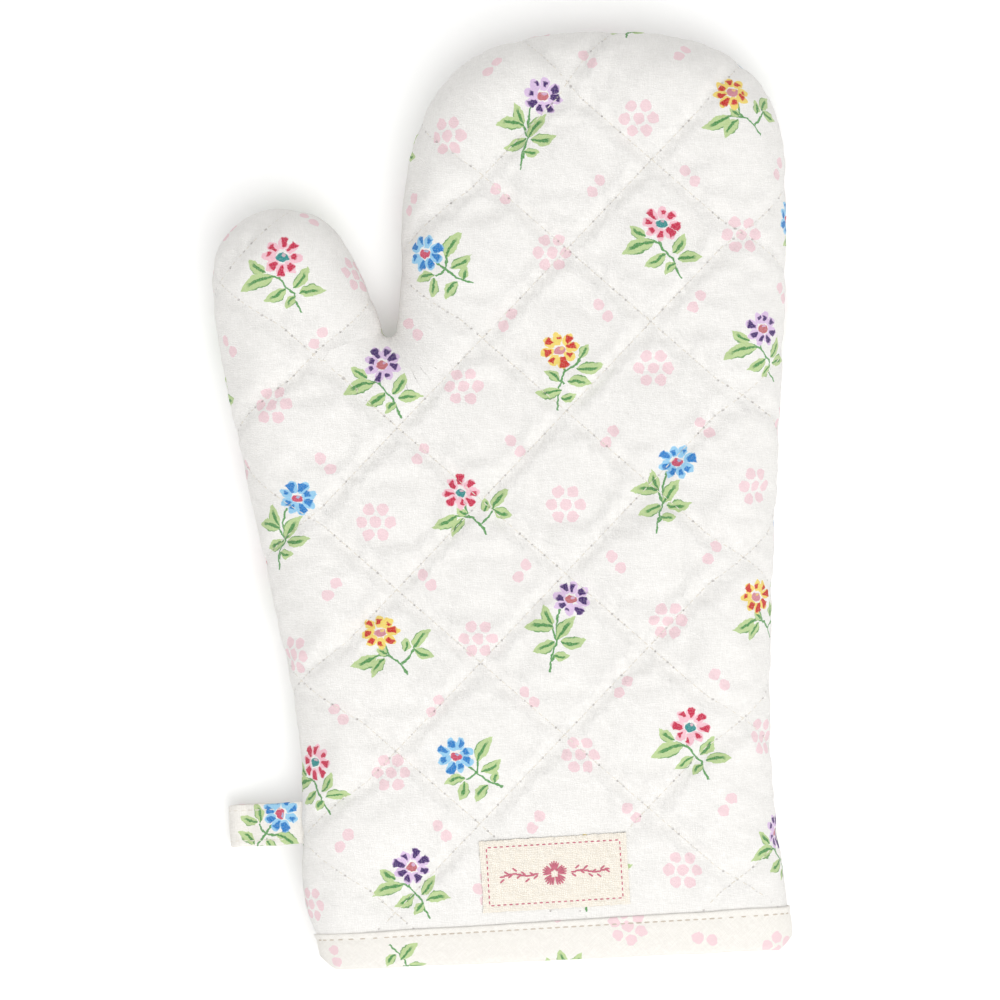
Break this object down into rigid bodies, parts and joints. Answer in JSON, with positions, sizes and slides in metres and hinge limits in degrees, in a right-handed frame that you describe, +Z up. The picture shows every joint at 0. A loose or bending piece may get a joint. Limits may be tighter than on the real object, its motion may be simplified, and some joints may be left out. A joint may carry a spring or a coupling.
{
  "type": "oven mitt",
  "caption": "Quilted cotton oven mitt with a separate thumb pocket, a bound cuff, a hanging loop and a sewn-on cuff label.",
  "frame": {"origin": "on the surface that the mitt lies on, under the centre of its bounding box", "axes": "+Y from the cuff to the fingertips, +X along the cuff away from the thumb, +Z up through the front panel"},
  "size_m": [0.1911, 0.296, 0.0324],
  "materials": {
    "printed_cloth": "plain-woven cotton, printed with small flowers",
    "batting": "needled cotton batting",
    "lining": "plain-woven unprinted cotton",
    "thread": "twisted cotton thread",
    "label_cloth": "smooth cream cotton tape",
    "label_thread": "twisted red cotton thread"
  },
  "bodies": {
    "hand": {"hand_front_outer": "printed_cloth", "hand_front_batting": "batting", "hand_front_lining": "lining", "hand_back_outer": "printed_cloth", "hand_back_batting": "batting", "hand_back_lining": "lining", "hand_seam_overlock": "thread", "hand_quilting_thread": "thread", "cuff_binding": "printed_cloth", "binding_topstitch": "thread", "loop_sewn_ends": "printed_cloth", "label": "label_cloth", "label_stitching": "label_thread"},
    "thumb": {"thumb_front_outer": "printed_cloth", "thumb_front_batting": "batting", "thumb_front_lining": "lining", "thumb_back_outer": "printed_cloth", "thumb_back_batting": "batting", "thumb_back_lining": "lining", "thumb_seam_overlock": "thread", "thumb_quilting_thread": "thread"},
    "fingers": {"finger_front_outer": "printed_cloth", "finger_front_batting": "batting", "finger_front_lining": "lining", "finger_back_outer": "printed_cloth", "finger_back_batting": "batting", "finger_back_lining": "lining", "finger_seam_overlock": "thread", "finger_quilting_thread": "thread"},
    "loop": {"hanging_loop": "printed_cloth"}
  },
  "joints": [
    {"name": "finger_fold", "type": "hinge", "parent": "hand", "child": "fingers", "pos_m": [0.032, 0.075, 0.033], "axis": [1, 0, 0], "range_deg": [0, 70]},
    {"name": "thumb_fold", "type": "hinge", "parent": "hand", "child": "thumb", "pos_m": [-0.07245, -0.01, 0.033], "axis": [0.3335, 0.9428, 0], "range_deg": [0, 60]},
    {"name": "loop_swing", "type": "hinge", "parent": "hand", "child": "loop", "pos_m": [-0.07495, -0.0995, 0.013], "axis": [0, 1, 0], "range_deg": [-50, 90]}
  ]
}
